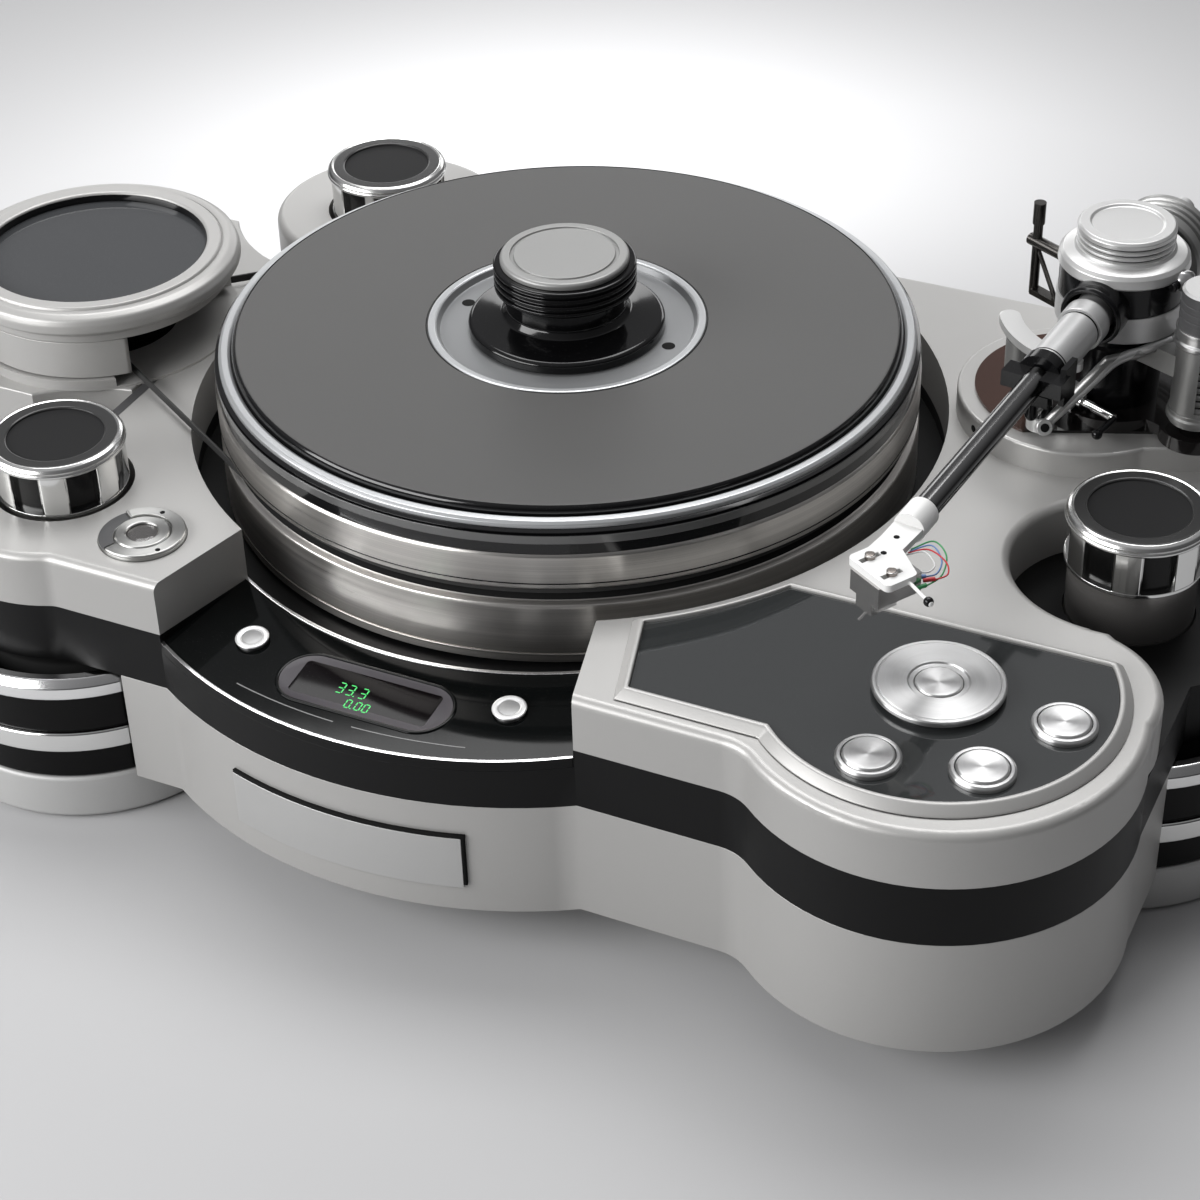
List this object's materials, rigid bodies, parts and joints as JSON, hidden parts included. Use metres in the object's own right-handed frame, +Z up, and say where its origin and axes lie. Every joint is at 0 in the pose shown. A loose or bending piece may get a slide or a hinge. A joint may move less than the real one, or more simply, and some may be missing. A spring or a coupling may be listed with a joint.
{
  "type": "record turntable",
  "caption": "Belt-driven record turntable on air suspension towers, with a lobed three-layer chassis, a heavy platter, a separate motor unit, a sloping display and a pivoted tonearm",
  "frame": {"origin": "Centre of the plan, on the surface the feet stand on. The platter's axis stands at x -19.4 mm, y +9.3 mm.", "axes": "+Z up, +X to the right of someone facing the display, +Y to the back"},
  "size_m": [0.6328, 0.4286, 0.2275],
  "materials": {
    "silver_paint": "fine satin paint on cast aluminium, pale silver grey",
    "black_satin": "satin black paint on aluminium",
    "foot_grey": "fine satin paint on cast aluminium, light grey",
    "brushed": "turned and brushed",
    "bright_metal": "polished",
    "satin_aluminium": "fine satin",
    "air_rubber": "matte",
    "belt_rubber": "matte",
    "mat": "matte mid grey",
    "black_gloss": "gloss black",
    "dark_glass": "opaque dark grey glass, gloss",
    "display_glass": "gloss, near black with green digits",
    "name_plate": "satin, bare",
    "shell_white": "satin off-white",
    "black_metal": "semi-gloss black",
    "dark_tube": "dark polished"
  },
  "bodies": {
    "chassis": {"lower_body": "silver_paint", "middle_band": "black_satin", "top_plate_left": "silver_paint", "top_plate_right": "silver_paint", "rear_deck": "silver_paint", "display_panel": "black_gloss", "display_trims": "bright_metal", "display_window": "display_glass", "name_plate": "name_plate", "spirit_level": "satin_aluminium", "control_bezel": "satin_aluminium", "control_glass": "dark_glass", "control_rings": "satin_aluminium", "foot_bases": "foot_grey", "foot_housings": "black_satin", "foot_rings": "satin_aluminium", "air_springs": "air_rubber", "suspension_columns": "bright_metal", "air_bearing_plate": "brushed", "bearing_housing": "brushed", "motor_base": "silver_paint", "motor_feet": "air_rubber", "motor_cover": "silver_paint", "motor_glass": "dark_glass", "drive_motor": "black_metal", "drive_belt": "belt_rubber", "arm_board": "satin_aluminium", "arm_base": "black_metal"},
    "pitch_low": {"pitch_low_button": "bright_metal"},
    "pitch_high": {"pitch_high_button": "bright_metal"},
    "disc_key": {"disc_button": "satin_aluminium"},
    "stop_key": {"stop_button": "satin_aluminium"},
    "speed_key": {"speed_button": "satin_aluminium"},
    "suction_key": {"suction_button": "satin_aluminium"},
    "front_left_cap": {"cap_front_left": "bright_metal"},
    "rear_left_cap": {"cap_rear_left": "bright_metal"},
    "right_cap": {"cap_right": "bright_metal"},
    "platter": {"lower_platter": "brushed", "upper_platter": "brushed", "platter_rim": "black_metal", "platter_ring": "bright_metal", "platter_mat": "mat", "centre_plate": "bright_metal", "spindle": "bright_metal"},
    "record_clamp": {"clamp_body": "black_metal", "clamp_top": "satin_aluminium"},
    "pulley": {"drive_pulley": "brushed"},
    "arm_lift": {"arm_post": "foot_grey", "arm_rest": "black_metal", "anti_skate": "black_metal"},
    "arm_turn": {"arm_hub": "black_metal", "hub_rings": "bright_metal"},
    "arm": {"arm_sleeve": "satin_aluminium", "arm_collar": "black_metal", "arm_tube": "dark_tube", "headshell": "shell_white", "cartridge": "black_metal"},
    "weight": {"counterweight": "brushed"},
    "lift_bar": {"cue_platform": "satin_aluminium"},
    "lever": {"cue_lever": "bright_metal"}
  },
  "joints": [
    {"name": "platter_spin", "type": "hinge", "parent": "chassis", "child": "platter", "pos_m": [-0.0194, 0.0093, 0.15], "axis": [0, 0, -1], "continuous": true},
    {"name": "pulley_spin", "type": "hinge", "parent": "chassis", "child": "pulley", "pos_m": [-0.2499, -0.0137, 0.133], "axis": [0, 0, -1], "continuous": true},
    {"name": "clamp_lift", "type": "slide", "parent": "platter", "child": "record_clamp", "axis": [0, 0, 1], "range_m": [0, 0.06]},
    {"name": "pitch_low_press", "type": "slide", "parent": "chassis", "child": "pitch_low", "axis": [0, 0, -1], "range_m": [0, 0.0012], "stiffness_N_per_m": 250},
    {"name": "pitch_high_press", "type": "slide", "parent": "chassis", "child": "pitch_high", "axis": [0, 0, -1], "range_m": [0, 0.0012], "stiffness_N_per_m": 250},
    {"name": "disc_press", "type": "slide", "parent": "chassis", "child": "disc_key", "axis": [0, 0, -1], "range_m": [0, 0.001], "stiffness_N_per_m": 250},
    {"name": "stop_press", "type": "slide", "parent": "chassis", "child": "stop_key", "axis": [0, 0, -1], "range_m": [0, 0.0015], "stiffness_N_per_m": 250},
    {"name": "speed_press", "type": "slide", "parent": "chassis", "child": "speed_key", "axis": [0, 0, -1], "range_m": [0, 0.0015], "stiffness_N_per_m": 250},
    {"name": "suction_press", "type": "slide", "parent": "chassis", "child": "suction_key", "axis": [0, 0, -1], "range_m": [0, 0.0015], "stiffness_N_per_m": 250},
    {"name": "front_left_turn", "type": "hinge", "parent": "chassis", "child": "front_left_cap", "pos_m": [-0.1909, -0.1362, 0.14], "axis": [0, 0, 1], "range_deg": [-180, 180]},
    {"name": "rear_left_turn", "type": "hinge", "parent": "chassis", "child": "rear_left_cap", "pos_m": [-0.1804, 0.1373, 0.14], "axis": [0, 0, 1], "range_deg": [-180, 180]},
    {"name": "right_turn", "type": "hinge", "parent": "chassis", "child": "right_cap", "pos_m": [0.2446, -0.0127, 0.14], "axis": [0, 0, 1], "range_deg": [-180, 180]},
    {"name": "arm_height", "type": "slide", "parent": "chassis", "child": "arm_lift", "axis": [0, 0, 1], "range_m": [-0.003, 0.003]},
    {"name": "arm_swing", "type": "hinge", "parent": "arm_lift", "child": "arm_turn", "pos_m": [0.2056, 0.0823, 0.187], "axis": [0, 0, 1], "range_deg": [-51.5, 0.5]},
    {"name": "arm_tilt", "type": "hinge", "parent": "arm_turn", "child": "arm", "pos_m": [0.2056, 0.0823, 0.2], "axis": [-0.9925, 0.1219, 0], "range_deg": [0, 3]},
    {"name": "counterweight_slide", "type": "slide", "parent": "arm", "child": "weight", "axis": [0.1218, 0.9917, 0.0419], "range_m": [-0.003, 0.004]},
    {"name": "cue_lever_turn", "type": "hinge", "parent": "chassis", "child": "lever", "pos_m": [0.1976, 0.0593, 0.152], "axis": [-0.9063, 0.4226, 0], "range_deg": [0, 70]},
    {"name": "cue_lift", "type": "slide", "parent": "arm_lift", "child": "lift_bar", "axis": [0, 0, 1], "range_m": [0, 0.003]}
  ],
  "couplings": [
    {"joint": "pulley_spin", "follows": "platter_spin", "ratio": 13.963},
    {"joint": "cue_lever_turn", "follows": "cue_lift", "rad_per_m": 407.2}
  ]
}
